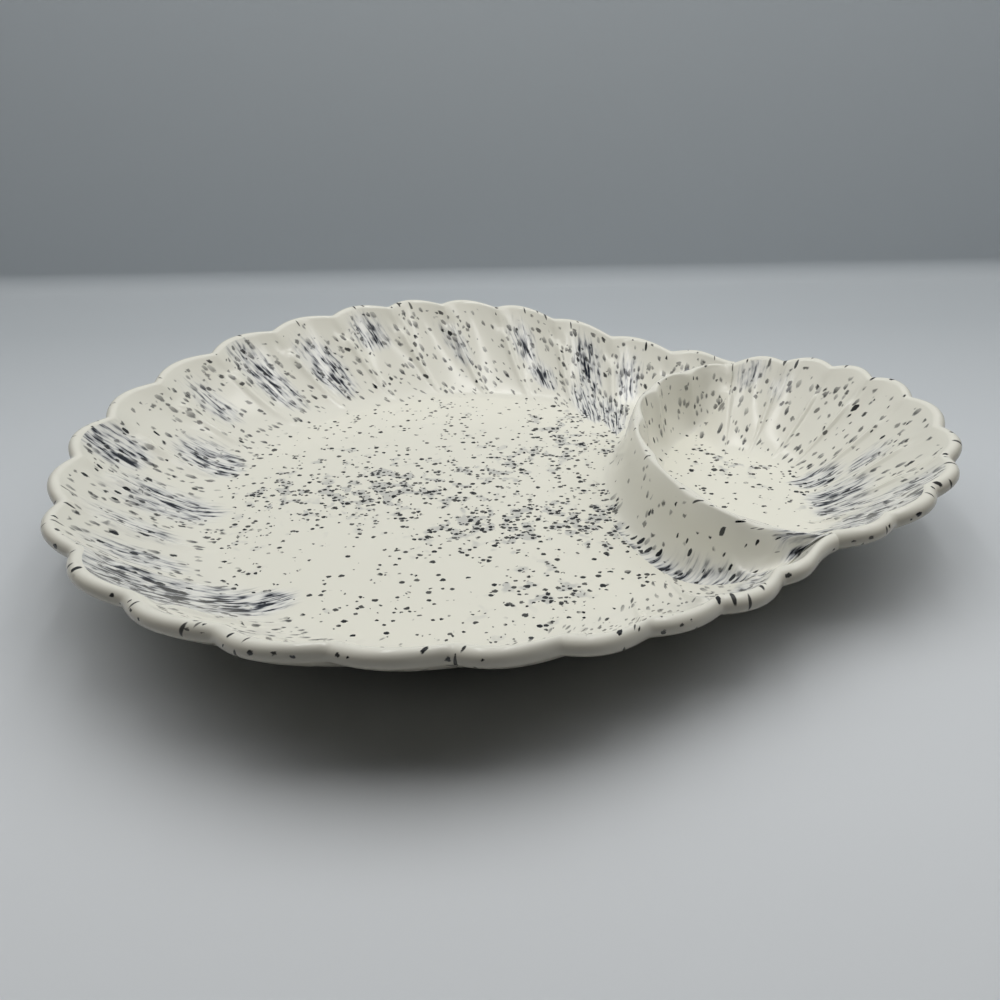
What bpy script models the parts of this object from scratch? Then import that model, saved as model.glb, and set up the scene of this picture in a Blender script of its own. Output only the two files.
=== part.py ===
# Divided serving platter: a scallop-shell chip dish with a dip bowl at one end.
# X runs along the platter towards the dip, Z is up, and the table is at Z = 0.
# All sizes are in metres.

import math

import bmesh
import bpy

# Outline in plan, measured to the notches between the rim's lobes
DISH_RADIUS = 0.136
DIP_RADIUS = 0.0795
CENTRE_DISTANCE = 0.1145       # between the centres of the dish end and the dip end
JUNCTION_OFFSET = 0.019        # where dish lobes turn into dip lobes, past the dip centre
PINCH_DEPTH = 0.003            # how far the outline draws in at the junction
PINCH_LENGTH = 0.025

# Lobes of the rim
DISH_LOBES = 23
DIP_LOBES = 9
DISH_LOBE_DEPTH = 0.0045
DIP_LOBE_DEPTH = 0.0035
LOBE_SPACING_OFFSET = 0.026    # point that the dish lobes are evenly spaced about, past its centre
NOTCH_SOFTNESS = 0.14          # 0 is a knife-sharp notch
LOBE_POWER = 0.84              # 1 is a sine arch, lower is a fuller lobe

# Heights and wall
RIM_HEIGHT = 0.046
WAIST_DROP = 0.011             # how far the rim sinks at the shoulders
WAIST_OFFSET = 0.1065          # lowest place of the rim, past the dish centre
WAIST_LENGTH = 0.062
FAR_END_DROP = 0.006           # how far the rim sinks at the end away from the dip
FAR_END_POWER = 1.8
WALL_THICKNESS = 0.0045
RIM_ROLL = 0.0065              # thickness of the rounded roll along the rim
RIM_SLOPE = math.radians(45)   # steepness of the wall where it meets the rim
DISH_WALL_RUN = 0.050          # from the rim to the flat floor, in plan
DIP_WALL_RUN = 0.043

# Divider wall, an arc of an ellipse in plan
DIVIDER_REACH = 0.053          # from the junction to the crest's far point
DIVIDER_HEIGHT = 0.038         # top of the crest at its far point
CREST_HALF_WIDTH = 0.003
CREST_ROUNDING = 0.001
DIVIDER_DISH_FOOT = 0.015      # from the crest to the foot on the dish side
DIVIDER_DIP_FOOT = 0.012
DISH_FACE_POWER = 3.0          # higher is a steeper face with a tighter fillet
DIP_FACE_POWER = 2.2
DIVIDER_END_BLEND = 0.2        # share of each half arc in which the faces melt into the shells
DIVIDER_END_SHARPNESS = 10     # how much steeper the faces are where they vanish
RIM_BAND = 0.004               # width of rim that runs on past the divider's ends

# Ribs run from the notches towards a point just behind the divider's face
RIB_FOCUS_INSET = 0.010
RIB_END_RADIUS = 0.006

# Foot rings
FOOT_HEIGHT = 0.006
FOOT_WIDTH = 0.007
FOOT_TAPER = 0.0012            # the ring narrows by this much on each side at the table
DISH_FOOT_RADIUS = 0.060       # to the middle of the ring
DISH_FOOT_OFFSET = -0.004      # ring centre, past the dish centre
DIP_FOOT_RADIUS = 0.019

JOINT_GAP = 0.0003             # clearance between pieces that touch

# Mesh fineness
LOBE_STEPS = (0.0, 0.12, 0.3, 0.5, 0.7, 0.88)
WALL_STEPS = 7
ROLL_STEPS = 6
ROLL_TURN = math.radians(240)  # how far the roll goes round before the outer wall starts
DIVIDER_STEPS = 44
BAND_STEPS = 4
FACE_STEPS = (0.0, 0.12, 0.24, 0.4, 0.62, 1.0)
CREST_STEPS = (0.6, 0.0, -0.6)
FOOT_STEPS = 72
BISECTIONS = 40

# Places that follow from the sizes above
LENGTH = DISH_RADIUS + DISH_LOBE_DEPTH + CENTRE_DISTANCE + DIP_RADIUS + DIP_LOBE_DEPTH
DISH_X = DISH_RADIUS + DISH_LOBE_DEPTH - LENGTH / 2
DIP_X = DISH_X + CENTRE_DISTANCE
JUNCTION_X = DIP_X + JUNCTION_OFFSET
WAIST_X = DISH_X + WAIST_OFFSET
FLOOR_BOTTOM = FOOT_HEIGHT + JOINT_GAP
FLOOR_TOP = FLOOR_BOTTOM + WALL_THICKNESS
DIVIDER_FOOT_X = JUNCTION_X - DIVIDER_REACH - DIVIDER_DISH_FOOT
HALF_GAP = JOINT_GAP / 2
FAR = 2 * LENGTH


def clamp(value):
    return min(max(value, 0.0), 1.0)


def bisect(is_before):
    """Share, from 0 to 1, at which a rising test turns false."""
    low, high = 0.0, 1.0
    for _ in range(BISECTIONS):
        middle = (low + high) / 2
        if is_before(middle):
            low = middle
        else:
            high = middle
    return low


# Outline and rim

def outline_distance(from_x, angle):
    """Distance from (from_x, 0) to the notch line of the rim, along a ray in plan."""
    start = from_x - DISH_X
    along, across = math.cos(angle), abs(math.sin(angle))
    sine = (DISH_RADIUS - DIP_RADIUS) / CENTRE_DISTANCE
    cosine = math.sqrt(1 - sine * sine)

    def circle_hit(centre, radius):
        offset = start - centre
        half = offset * along
        return -half + math.sqrt(half * half - offset * offset + radius * radius)

    def shoulder_place(distance):
        # how far along the straight shoulder the hit lies, from 0 to 1
        x, y = start + distance * along, distance * across
        return (x * cosine - y * sine) / (CENTRE_DISTANCE * cosine)

    reach = circle_hit(0.0, DISH_RADIUS) if abs(start) < DISH_RADIUS else None
    if reach is None or shoulder_place(reach) > 0:
        slant = sine * along + cosine * across
        reach = (DISH_RADIUS - sine * start) / slant if slant > 1e-9 else FAR
        if shoulder_place(reach) > 1:
            reach = circle_hit(CENTRE_DISTANCE, DIP_RADIUS)
    x = from_x + reach * along
    return reach - PINCH_DEPTH * math.exp(-((x - JUNCTION_X) / PINCH_LENGTH) ** 2)


def half_width(x):
    return outline_distance(x, math.pi / 2)


def rim_height(x):
    waist = WAIST_DROP * math.exp(-((x - WAIST_X) / WAIST_LENGTH) ** 2)
    far_end = FAR_END_DROP * (max(0.0, DISH_X - x) / DISH_RADIUS) ** FAR_END_POWER
    return RIM_HEIGHT - waist - far_end


def lobe_bulge(index):
    """0 at a notch (whole index), 1 in the middle of a lobe."""
    def arch(sine):
        return math.hypot(sine, NOTCH_SOFTNESS) ** LOBE_POWER

    return (arch(math.sin(math.pi * index)) - arch(0)) / (arch(1) - arch(0))


# The two fluted shells share one description

JUNCTION_Y = half_width(JUNCTION_X)

DISH = {
    "focus_x": DIVIDER_FOOT_X + RIB_FOCUS_INSET,
    "spacing_x": DISH_X + LOBE_SPACING_OFFSET,
    "lobes": DISH_LOBES,
    "lobe_depth": DISH_LOBE_DEPTH,
    "run": DISH_WALL_RUN,
    "turn": 1,
}
DIP = {
    "focus_x": DIP_X,
    "spacing_x": DIP_X,
    "lobes": DIP_LOBES,
    "lobe_depth": DIP_LOBE_DEPTH,
    "run": DIP_WALL_RUN,
    "turn": -1,
}


def first_notch(shell):
    return math.atan2(JUNCTION_Y, JUNCTION_X - shell["spacing_x"])


def lobe_sweep(shell):
    """Signed angle of one lobe, seen from the point that the lobes are spaced about."""
    span = first_notch(shell) * 2
    if shell["turn"] > 0:
        span = 2 * math.pi - span
    return shell["turn"] * span / shell["lobes"]


def rim_point(shell, index):
    angle = first_notch(shell) + lobe_sweep(shell) * index
    reach = outline_distance(shell["spacing_x"], angle)
    return shell["spacing_x"] + reach * math.cos(angle), reach * math.sin(angle)


def rib_line(shell, index):
    """Notch-line point, inward direction and length of the rib at a lobe index."""
    x, y = rim_point(shell, index)
    length = math.hypot(x - shell["focus_x"], y)
    return (x, y), ((shell["focus_x"] - x) / length, -y / length), length


def wall_curve(shell, crest):
    """Wall section in (inset from the notch line, height) for a rim of this crest height."""
    half = RIM_ROLL / 2
    start = half * (1 + math.sin(RIM_SLOPE))
    top = crest - half * (1 - math.cos(RIM_SLOPE))
    drop = top - FLOOR_TOP
    power = shell["run"] * math.tan(RIM_SLOPE) / drop

    def inner(share):
        rest = 1 - share
        slope = math.atan(power * drop / shell["run"] * rest ** (power - 1))
        return start + shell["run"] * share, FLOOR_TOP + drop * rest ** power, slope

    def outer(share):
        inset, height, slope = inner(share)
        return inset - WALL_THICKNESS * math.sin(slope), height - WALL_THICKNESS * math.cos(slope)

    return inner, outer


def flute_fade(share):
    """The flutes are full at the rim and gone where the wall meets the floor."""
    return 1 - share * share * (3 - 2 * share)


def wall_section(shell, index):
    """Closed section of a shell in plan distance from the rim's notch line and height."""
    (x, _), _, length = rib_line(shell, index)
    crest = rim_height(x)
    bulge = shell["lobe_depth"] * lobe_bulge(index)
    inner, outer = wall_curve(shell, crest)
    shares = [step / WALL_STEPS for step in range(WALL_STEPS + 1)]
    half = RIM_ROLL / 2
    section = []
    for share in reversed(shares):
        inset, height, _ = inner(share)
        section.append((inset - bulge * flute_fade(share), height))
    for step in range(1, ROLL_STEPS + 1):
        turn = math.pi / 2 - RIM_SLOPE + ROLL_TURN * step / ROLL_STEPS
        section.append((half + half * math.cos(turn) - bulge, crest - half + half * math.sin(turn)))
    for share in shares[1:]:
        inset, height = outer(share)
        section.append((inset - bulge * flute_fade(share), height))
    return section, length


def share_at(curve, bulge, inset):
    """Share of the wall's run at which a wall curve lies this far in from the notch line."""
    return bisect(lambda share: curve(share)[0] - bulge * flute_fade(share) < inset)


def shell_heights(shell, x, y):
    """Top and underside of a shell at a point in plan."""
    focus = shell["focus_x"]
    angle = math.atan2(y, x - focus)
    reach = outline_distance(focus, angle)
    rim_x, rim_y = focus + reach * math.cos(angle), reach * math.sin(angle)
    turn = math.atan2(rim_y, rim_x - shell["spacing_x"]) - first_notch(shell)
    index = turn % (2 * math.pi * shell["turn"]) / lobe_sweep(shell)
    bulge = shell["lobe_depth"] * lobe_bulge(index)
    inset = reach - math.hypot(x - focus, y)
    inner, outer = wall_curve(shell, rim_height(rim_x))
    return inner(share_at(inner, bulge, inset))[1], outer(share_at(outer, bulge, inset))[1]


# Divider

CREST_END_Y = JUNCTION_Y - RIM_BAND


def divider_point(angle, offset):
    """Plan point on the divider's arc; a positive offset is towards the dish."""
    x = JUNCTION_X - (DIVIDER_REACH + offset) * math.cos(angle)
    return x, (CREST_END_Y + offset) * math.sin(angle)


def crest_height(angle):
    end = rim_height(JUNCTION_X)
    return end + (DIVIDER_HEIGHT - end) * math.cos(angle) ** 2


def divider_heights(angle, offset):
    """Top and underside of the divider at a place across its arc."""
    x, y = divider_point(angle, offset)
    dish_top, dish_under = shell_heights(DISH, x, y)
    dip_top, dip_under = shell_heights(DIP, x, y)
    if offset > 0:
        base, foot, power = dish_top, DIVIDER_DISH_FOOT, DISH_FACE_POWER
    else:
        base, foot, power = dip_top, DIVIDER_DIP_FOOT, DIP_FACE_POWER
    shoulder = clamp(abs(offset) / CREST_HALF_WIDTH)
    face = clamp((abs(offset) - CREST_HALF_WIDTH) / (foot - CREST_HALF_WIDTH))
    crest = crest_height(angle) - CREST_ROUNDING * shoulder ** 2
    # near the rim the faces sink into the shells and only the crest runs on
    to_end = clamp((1 - abs(angle) / (math.pi / 2)) / DIVIDER_END_BLEND)
    power /= max(to_end, 1 / DIVIDER_END_SHARPNESS)
    top = base + (crest - base) * (1 - face) ** power
    across = (DIVIDER_DISH_FOOT - offset) / (DIVIDER_DISH_FOOT + DIVIDER_DIP_FOOT)
    under = dish_under + (dip_under - dish_under) * clamp(across)
    return top, under


# Mesh helpers

def finish_mesh(bm, name):
    bmesh.ops.remove_doubles(bm, verts=bm.verts, dist=1e-6)
    bmesh.ops.recalc_face_normals(bm, faces=bm.faces)
    mesh = bpy.data.meshes.new(name)
    bm.to_mesh(mesh)
    bm.free()
    mesh.shade_smooth()
    mesh.set_sharp_from_angle(angle=math.radians(40))
    return mesh


def loft(name, sections, ring):
    """Skin through sections of equal point counts: a ring of open strips, or capped closed loops."""
    bm = bmesh.new()
    rows = [[bm.verts.new(point) for point in section] for section in sections]
    count = len(rows[0])
    pairs = list(zip(rows, rows[1:]))
    if ring:
        pairs.append((rows[-1], rows[0]))
    for one, two in pairs:
        for step in range(count - 1 if ring else count):
            after = (step + 1) % count
            bm.faces.new((one[step], one[after], two[after], two[step]))
    if not ring:
        bm.faces.new(rows[0])
        bm.faces.new(reversed(rows[-1]))
    return finish_mesh(bm, name)


def prism(name, outline):
    """Tall cutter with this outline in plan."""
    curve = bpy.data.curves.new(name, "CURVE")
    curve.dimensions = "2D"
    curve.fill_mode = "BOTH"
    curve.extrude = RIM_HEIGHT * 2
    spline = curve.splines.new("POLY")
    spline.points.add(len(outline) - 1)
    for point, (x, y) in zip(spline.points, outline):
        point.co = (x, y, 0.0, 1.0)
    spline.use_cyclic_u = True
    holder = bpy.data.objects.new(name, curve)
    bpy.context.scene.collection.objects.link(holder)
    bpy.context.view_layer.update()
    graph = bpy.context.evaluated_depsgraph_get()
    mesh = bpy.data.meshes.new_from_object(holder.evaluated_get(graph))
    bpy.data.objects.remove(holder)
    bm = bmesh.new()
    bm.from_mesh(mesh)
    cutter = bpy.data.objects.new(name, finish_mesh(bm, name))
    cutter.hide_render = True
    cutter.display_type = "WIRE"
    CUTTERS.objects.link(cutter)
    return cutter


def add_part(name, mesh, material):
    part = bpy.data.objects.new(name, mesh)
    mesh.materials.clear()
    mesh.materials.append(material)
    PARTS.objects.link(part)
    part.parent = PLATTER
    return part


def keep_inside(part, cutter):
    trim = part.modifiers.new("trim", "BOOLEAN")
    trim.operation = "INTERSECT"
    trim.object = cutter


def make_material(name, colour, roughness):
    material = bpy.data.materials.new(name)
    material.use_nodes = True
    shader = material.node_tree.nodes["Principled BSDF"]
    shader.inputs["Base Color"].default_value = (*colour, 1.0)
    shader.inputs["Roughness"].default_value = roughness
    shader.inputs["Metallic"].default_value = 0.0
    return material


# Plan regions that the pieces are trimmed to

def divider_end_angle(offset):
    """Angle at which a line along the divider reaches the rim band."""
    def is_inside(share):
        x, y = divider_point(share * math.pi / 2, offset)
        return y < half_width(x) - RIM_BAND

    return bisect(is_inside) * math.pi / 2


def dish_region():
    foot = DIVIDER_DISH_FOOT + HALF_GAP
    end = divider_end_angle(foot)
    end_x, _ = divider_point(end, foot)
    edge_x = JUNCTION_X - HALF_GAP
    steps = DIVIDER_STEPS // 2
    back = [(edge_x, half_width(edge_x) - RIM_BAND)]
    for step in range(1, BAND_STEPS):
        x = edge_x + (end_x - edge_x) * step / BAND_STEPS
        back.append((x, half_width(x) - RIM_BAND))
    back += [divider_point(end * (1 - step / steps), foot) for step in range(steps)]
    front = [(x, -y) for x, y in reversed(back)]
    middle = [divider_point(0.0, foot)]
    return [(edge_x, FAR)] + back + middle + front + [(edge_x, -FAR), (-FAR, -FAR), (-FAR, FAR)]


def dip_region():
    foot = -DIVIDER_DIP_FOOT - HALF_GAP
    edge_x = JUNCTION_X + HALF_GAP
    angles = [math.pi * (step / DIVIDER_STEPS - 0.5) for step in range(DIVIDER_STEPS + 1)]
    arc = [divider_point(angle, foot) for angle in angles]
    first, last = (edge_x, arc[0][1]), (edge_x, arc[-1][1])
    return [(edge_x, -FAR), first] + arc[1:-1] + [last, (edge_x, FAR), (FAR, FAR), (FAR, -FAR)]


def divider_region():
    left = DIVIDER_FOOT_X - RIM_BAND
    right = JUNCTION_X - HALF_GAP
    steps = DIVIDER_STEPS // 2
    edge = []
    for step in range(steps + 1):
        x = left + (right - left) * step / steps
        edge.append((x, half_width(x) - RIM_BAND - HALF_GAP))
    return [(x, -y) for x, y in edge] + list(reversed(edge))


# Pieces

def make_chip_dish(material):
    sections = []
    spare = LOBE_STEPS[len(LOBE_STEPS) // 2:]
    indices = [step - 1 for step in spare]
    indices += [lobe + step for lobe in range(DISH_LOBES) for step in LOBE_STEPS]
    indices += [DISH_LOBES + step for step in LOBE_STEPS[:len(LOBE_STEPS) - len(spare) + 1]]
    for index in indices:
        (x, y), (along_x, along_y), _ = rib_line(DISH, index)
        wall, length = wall_section(DISH, index)
        inner_end = length - RIB_END_RADIUS
        wall = [(inner_end, FLOOR_TOP)] + wall + [(inner_end, FLOOR_BOTTOM)]
        sections.append([(x + along_x * inset, y + along_y * inset, height) for inset, height in wall])
    dish = add_part("chip_dish", loft("chip_dish", sections, ring=False), material)
    keep_inside(dish, prism("dish_region", dish_region()))


def make_dip_bowl(material):
    lobe_count = round(2 * math.pi / abs(lobe_sweep(DIP)))
    sections = []
    for lobe in range(lobe_count):
        for step in LOBE_STEPS:
            index = lobe + step
            if index > DIP_LOBES:
                # past the last notch the lobes only fill the rest of the turn
                rest = 2 * math.pi / abs(lobe_sweep(DIP)) - DIP_LOBES
                index = DIP_LOBES + (index - DIP_LOBES) * rest / (lobe_count - DIP_LOBES)
            (x, y), (along_x, along_y), _ = rib_line(DIP, index)
            wall, length = wall_section(DIP, index)
            wall = [(length, FLOOR_TOP)] + wall + [(length, FLOOR_BOTTOM)]
            sections.append([(x + along_x * inset, y + along_y * inset, height) for inset, height in wall])
    bowl = add_part("dip_bowl", loft("dip_bowl", sections, ring=True), material)
    keep_inside(bowl, prism("dip_region", dip_region()))


def make_divider_wall(material):
    dish_foot = DIVIDER_DISH_FOOT - HALF_GAP - CREST_HALF_WIDTH
    dip_foot = DIVIDER_DIP_FOOT - HALF_GAP - CREST_HALF_WIDTH
    offsets = [CREST_HALF_WIDTH + dish_foot * share for share in reversed(FACE_STEPS)]
    offsets += [CREST_HALF_WIDTH * share for share in CREST_STEPS]
    offsets += [-CREST_HALF_WIDTH - dip_foot * share for share in FACE_STEPS]
    sections = []
    reach = math.pi / 2 + math.pi / DIVIDER_STEPS
    for step in range(DIVIDER_STEPS + 1):
        angle = reach * (2 * step / DIVIDER_STEPS - 1)
        top, under = [], []
        for offset in offsets:
            x, y = divider_point(angle, offset)
            high, low = divider_heights(angle, offset)
            top.append((x, y, high))
            under.append((x, y, low))
        sections.append(top + list(reversed(under)))
    wall = add_part("divider_wall", loft("divider_wall", sections, ring=False), material)
    keep_inside(wall, prism("divider_region", divider_region()))


def make_foot_ring(name, centre_x, radius, material):
    half = FOOT_WIDTH / 2
    profile = [
        (radius - half, FOOT_HEIGHT),
        (radius + half, FOOT_HEIGHT),
        (radius + half - FOOT_TAPER, 0.0),
        (radius - half + FOOT_TAPER, 0.0),
    ]
    bm = bmesh.new()
    corners = [bm.verts.new((x, 0.0, z)) for x, z in profile]
    for one, two in zip(corners, corners[1:] + corners[:1]):
        bm.edges.new((one, two))
    mesh = bpy.data.meshes.new(name)
    bm.to_mesh(mesh)
    bm.free()
    ring = add_part(name, mesh, material)
    ring.location.x = centre_x
    turn = ring.modifiers.new("turn", "SCREW")
    turn.steps = turn.render_steps = FOOT_STEPS
    turn.use_merge_vertices = True
    turn.merge_threshold = 0.00001


for old in list(bpy.data.objects):
    bpy.data.objects.remove(old)

PARTS = bpy.data.collections.new("divided_serving_platter")
CUTTERS = bpy.data.collections.new("cutters")
bpy.context.scene.collection.children.link(PARTS)
bpy.context.scene.collection.children.link(CUTTERS)
PLATTER = bpy.data.objects.new("platter", None)
PARTS.objects.link(PLATTER)

GLAZE = make_material("speckled_cream_glaze", (0.68, 0.66, 0.59), 0.12)
BARE_CLAY = make_material("bare_cream_clay", (0.60, 0.52, 0.41), 0.85)

make_chip_dish(GLAZE)
make_dip_bowl(GLAZE)
make_divider_wall(GLAZE)
make_foot_ring("dish_foot_ring", DISH_X + DISH_FOOT_OFFSET, DISH_FOOT_RADIUS, BARE_CLAY)
make_foot_ring("dip_foot_ring", DIP_X, DIP_FOOT_RADIUS, BARE_CLAY)
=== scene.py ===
import math

import bpy
import numpy as np
from mathutils import Matrix


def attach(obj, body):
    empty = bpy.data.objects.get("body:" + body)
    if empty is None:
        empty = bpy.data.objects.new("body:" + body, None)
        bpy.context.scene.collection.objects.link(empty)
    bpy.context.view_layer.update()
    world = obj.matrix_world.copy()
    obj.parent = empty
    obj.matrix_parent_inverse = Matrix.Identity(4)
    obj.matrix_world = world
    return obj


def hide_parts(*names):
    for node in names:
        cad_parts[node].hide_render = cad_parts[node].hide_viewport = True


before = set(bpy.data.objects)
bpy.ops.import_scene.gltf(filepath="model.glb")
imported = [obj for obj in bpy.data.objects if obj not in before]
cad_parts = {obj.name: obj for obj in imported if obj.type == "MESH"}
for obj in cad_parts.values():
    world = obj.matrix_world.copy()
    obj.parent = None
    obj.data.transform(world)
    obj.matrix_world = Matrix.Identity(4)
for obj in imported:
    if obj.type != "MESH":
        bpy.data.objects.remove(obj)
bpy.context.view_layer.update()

# Scallop-shell chip and dip platter in speckled cream glaze, all sizes in metres

rim = {
    "height": 0.046,
    "roll": 0.0060,  # thickness of the rounded roll along the edge
    "rimWall": 0.0060,  # thickness of the wall just under the roll, and further down
    "wall": 0.0045,
    "lobeRise": 0.0005,  # the crest arches over each lobe and dips between them
    "notchDip": 0.0013,
    "slope": math.radians(45),
    "waistDrop": 0.011,
    "waistX": 0.078,
    "waistLength": 0.062,
    "farEndDrop": 0.006,
    "farEndPower": 1.8,
    "pinchDepth": 0.003,
    "pinchLength": 0.025,
    "joinNotch": 0.0035,  # deeper notch where the dish's rim meets the dip bowl's
    "joinLength": 0.010,
    "notchSoftness": 0.14,
    "lobePower": 0.84,
    "evenEnds": 1.5,  # lobes at each end of a shell that stay evenly spaced
    "farSpread": 4.5,  # lobes either side of the far end that keep their full depth
    "wobbleStep": 2.4,  # sets how the lobes' depths differ from one to the next
    "wobbleStart": 1,
    "floorBottom": 0.0063,
    "cupDepth": 0.0006,  # hollow under the edge of each lobe
    "cupReach": 0.0040,
    "dimple": 0.0020,  # hollow below each notch, above the rib's end
    "dimpleInset": 0.0062,
    "dimpleSize": 0.0034,
    "dimpleWidth": 0.25,  # as a share of the lobe's depth, as is the rib's
    "hollowEnd": 0.55,  # share of the wall at which cup and dimple have run out
    "ribRise": 0.0011,
    "ribWidth": 0.12,
    "ribStart": (0.06, 0.22),  # shares of the wall over which a rib rises, and dies away
    "ribEnd": (0.45, 0.95),
    "footEase": 0.24,  # share of the wall over which its foot eases into the floor
    "floorFrom": 0.72,  # share of the wall from which the glaze begins to count as floor
    "rollSteps": 26,
    "rollTurn": math.pi,
    "outerStart": 0.012,  # share of the wall at which the outside leaves the roll
    "thinnedAt": 0.35,  # share of the wall at which it is down to its own thickness
}
dish = {
    "x": -0.0285,
    "radius": 0.136,
    "lobes": 23,
    "lobeDepth": 0.0045,
    "sideLobes": 0.90,  # depth of the lobes away from the far end, as a share
    "drift": [  # uneven spacing, in lobes: place, spread, shift
        (3.8, 2.6, 0.45),
        (13.0, 2.0, -0.14),
        (19.5, 4.0, 0.14),
    ],
    "focusX": 0.047,  # the ribs run towards this point
    "spacingX": -0.0025,  # the lobes are spaced about this one
    "run": 0.050,
    "turn": 1,
    "perLobe": 30,
    "wallRows": 36,
    "floorRows": 24,
    "outerRows": 24,
    "underRows": 6,
    "wallLimit": 0.8,  # the most of the inside that the wall's rows take up
    "wallCrowd": 1.15,  # how the rows crowd towards the rim, inside and outside
    "outerCrowd": 1.3,
    "band": 0.0065,  # rim that runs on past the ends of the divider
    "tuck": 0.0008,  # how far the floor reaches under the divider's foot
    "turnIn": 1.3,  # lobes over which the ribs swing round to the dip's
    "wobble": 0.12,  # how much the lobes differ, as if shaped by hand
}
dip = {
    "x": 0.086,
    "radius": 0.0795,
    "lobes": 9,
    "lobeDepth": 0.0030,
    "sideLobes": 1.0,
    "drift": [(3.5, 1.2, -0.25)],
    "focusX": 0.086,
    "spacingX": 0.086,
    "run": 0.043,
    "turn": -1,
    "perLobe": 30,
    "insideRows": 40,
    "lipRows": 6,
    "outerRows": 22,
    "leftColumns": 150,
    "insideCrowd": 1.25,  # how the inside rows crowd away from the hub
    "outerCrowd": 1.0,
    "tuck": 0.0008,
    "wobble": 0.10,
    "flowStart": 2.0,  # keeps its part of the flow map clear of the dish's
    "leftRadius": 0.05,  # gives the left columns their width in the flow map
    "fewerFreckles": 0.10,
}
divider = {
    "junctionX": 0.105,  # where its ends reach the rim
    "reach": 0.053,
    "rimGap": 0.004,
    "height": 0.038,
    "crestHalf": 0.003,
    "crestRounding": 0.001,
    "crestSoft": 0.0013,
    "dishFoot": 0.015,
    "dipFoot": 0.012,
    "dishPower": 3.0,
    "dipPower": 2.2,
    "lobes": 7,
    "lobeDepth": 0.0026,
    "crestDip": 0.0008,
    "columns": 280,
    "crestRows": 16,
    "faceRows": 24,
    "faceCrowd": 1.35,  # how the rows crowd towards the crest
    "softSteps": (-1, -0.5, 0, 0.5, 1),
    "endBlend": (0.07, 0.17),  # share of each half in which the crest and the faces melt into the rim
    "blendReach": 0.011,  # distance from the crest at which the faces' share holds
    "bandFade": 0.004,  # distance over which the rows change from notch to rim band
    "endSink": 0.00025,  # keeps the dish side's ends just under the rim
    "lobeOver": 0.003,  # how far the lobes reach over to the dish side
    "lobeEnd": (0.004, 0.011),  # distance from the crest over which they fade on the dip side
    "dishFloor": (0.008, 0.0135),  # distance from the crest over which the glaze turns to floor
    "dipFloor": (0.007, 0.0115),
    "cleanShare": 0.30,  # strokes on the dish side, which is almost clean above its foot
    "cleanTo": (0.022, 0.032),
    "flowStart": 1.0,  # these keep its two sides apart in the flow map
    "dipFlowStart": 0.4,
}
floorTop = rim["floorBottom"] + rim["wall"]
rollHalf = rim["roll"] / 2
rollInner = rollHalf * (1 + math.sin(rim["slope"]))
lowDepth = 0.03  # depth in the flow map of the dip's left floor and of undersides
meshing = {
    "halvings": 36,  # steps in finding a place along a curve
    "lookups": 40,  # points per lobe in finding the lobe at a place
    "merge": 0.000001,
    "crease": math.radians(50),
}


def evenly(count):
    return np.linspace(0, 1, count + 1)


rollAngle = math.pi / 2 - rim["slope"] + rim["rollTurn"] * evenly(rim["rollSteps"])[1:]
rollCrest = int(np.argmin(np.abs(rollAngle - math.pi / 2)))


def smooth(value, low=0.0, high=1.0):
    share = np.clip((value - low) / (high - low), 0, 1)
    return share * share * (3 - 2 * share)


def halve(isBefore, shape):
    low, high = np.zeros(shape), np.ones(shape)
    for _ in range(meshing["halvings"]):
        middle = (low + high) / 2
        before = isBefore(middle)
        low = np.where(before, middle, low)
        high = np.where(before, high, middle)
    return low


# Outline in plan: a large circle, a small one and straight shoulders between them
def outlineReach(fromX, angle):
    start = fromX - dish["x"] + 0 * angle
    along, across = np.cos(angle), np.abs(np.sin(angle))
    gap = dip["x"] - dish["x"]
    sine = (dish["radius"] - dip["radius"]) / gap
    cosine = math.sqrt(1 - sine * sine)

    def circleHit(centre, radius):
        half = (start - centre) * along
        return -half + np.sqrt(np.maximum(half * half - (start - centre) ** 2 + radius ** 2, 0))

    def shoulderPlace(reach):
        return ((start + reach * along) * cosine - reach * across * sine) / (gap * cosine)

    reach = circleHit(0, dish["radius"])
    onShoulder = (np.abs(start) >= dish["radius"]) | (shoulderPlace(reach) > 0)
    slant = np.maximum(sine * along + cosine * across, 1e-9)
    reach = np.where(onShoulder, (dish["radius"] - sine * start) / slant, reach)
    onDip = onShoulder & (shoulderPlace(reach) > 1)
    reach = np.where(onDip, circleHit(gap, dip["radius"]), reach)
    fromJoin = fromX + reach * along - divider["junctionX"]
    reach = reach - rim["pinchDepth"] * np.exp(-(fromJoin / rim["pinchLength"]) ** 2)
    return reach - rim["joinNotch"] * np.exp(-(fromJoin / rim["joinLength"]) ** 2)


# Height of the crest, arched over the lobes
def crestHeight(x, index):
    return rimHeight(x) + rim["lobeRise"] - rim["notchDip"] * (1 - lobeArch(index))


def rimHeight(x):
    waist = rim["waistDrop"] * np.exp(-((x - rim["waistX"]) / rim["waistLength"]) ** 2)
    farEnd = rim["farEndDrop"] * (np.maximum(0, dish["x"] - x) / dish["radius"]) ** rim["farEndPower"]
    return rim["height"] - waist - farEnd


def lobeArch(index):
    def arch(sine):
        return np.hypot(sine, rim["notchSoftness"]) ** rim["lobePower"]

    return (arch(np.sin(np.pi * index)) - arch(0)) / (arch(1) - arch(0))


junctionY = float(outlineReach(divider["junctionX"], np.array(math.pi / 2)))
for shell in (dish, dip):
    shell["first"] = math.atan2(junctionY, divider["junctionX"] - shell["spacingX"])
    span = shell["first"] * 2 if shell["turn"] < 0 else 2 * math.pi - shell["first"] * 2
    shell["sweep"] = shell["turn"] * span / shell["lobes"]


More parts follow.
